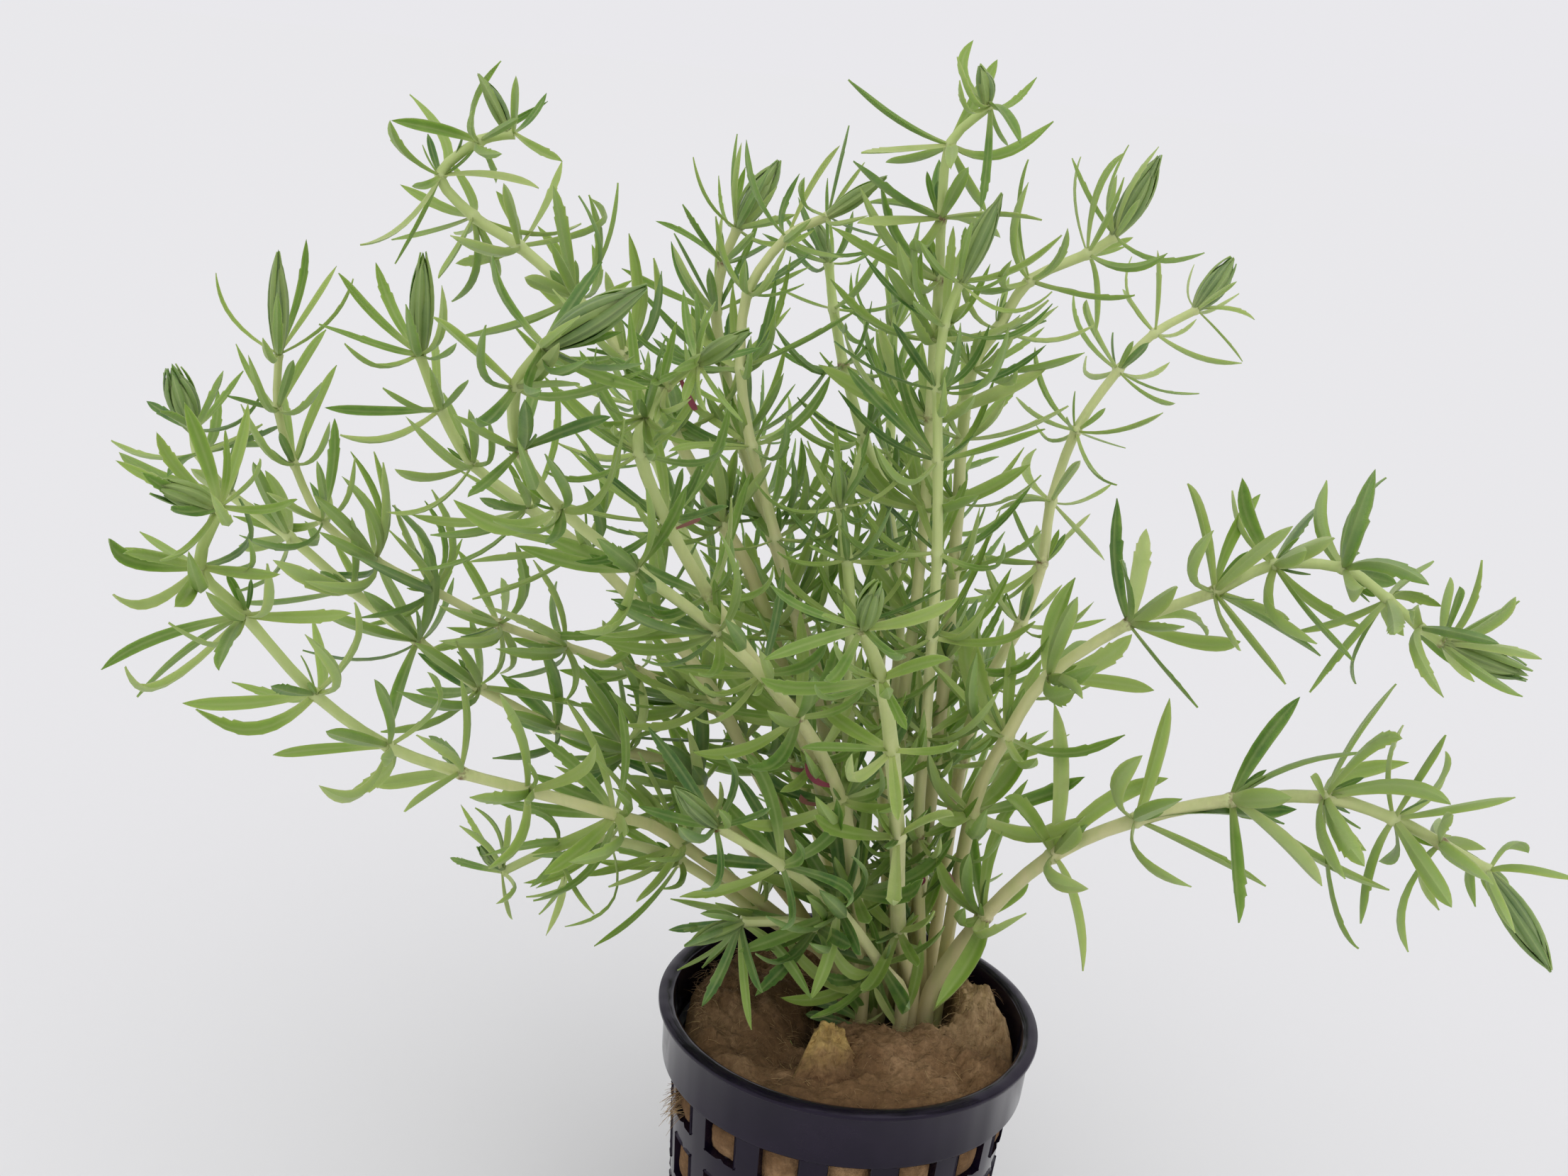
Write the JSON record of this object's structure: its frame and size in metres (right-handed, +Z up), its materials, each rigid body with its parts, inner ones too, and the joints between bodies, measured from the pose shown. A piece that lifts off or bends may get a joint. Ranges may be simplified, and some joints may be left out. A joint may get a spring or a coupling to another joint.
{
  "type": "potted pogostemon bunch",
  "caption": "Bunch of leafy pogostemon shoots with whorls of narrow leaves, standing in rock wool in a small round net pot.",
  "frame": {"origin": "centre of the net pot's flat underside", "axes": "+Z up along the pot's axis, -Y towards the front that the picture shows, +X to its right"},
  "size_m": [0.1938, 0.1388, 0.1802],
  "materials": {
    "pot_plastic": "glossy",
    "wool_fibre": "matte, damp fibre",
    "leaf_green": "soft satin leaf"
  },
  "bodies": {
    "root": {"net_pot": "pot_plastic", "rock_wool": "wool_fibre", "shoot_back_left": "leaf_green", "shoot_back_low": "leaf_green", "shoot_back_middle": "leaf_green", "shoot_back_right": "leaf_green", "shoot_back_tall": "leaf_green", "shoot_big_bud": "leaf_green", "shoot_far_left": "leaf_green", "shoot_front": "leaf_green", "shoot_front_left": "leaf_green", "shoot_left_front": "leaf_green", "shoot_left_inner": "leaf_green", "shoot_left_upper": "leaf_green", "shoot_low_left": "leaf_green", "shoot_middle": "leaf_green", "shoot_middle_back": "leaf_green", "shoot_middle_front": "leaf_green", "shoot_middle_left": "leaf_green", "shoot_middle_top": "leaf_green", "shoot_over_rim": "leaf_green", "shoot_right": "leaf_green", "shoot_right_low": "leaf_green", "shoot_right_upper": "leaf_green", "shoot_top": "leaf_green", "shoot_top_bud": "leaf_green", "shoot_top_left": "leaf_green", "shoot_top_right": "leaf_green"}
  },
  "joints": []
}
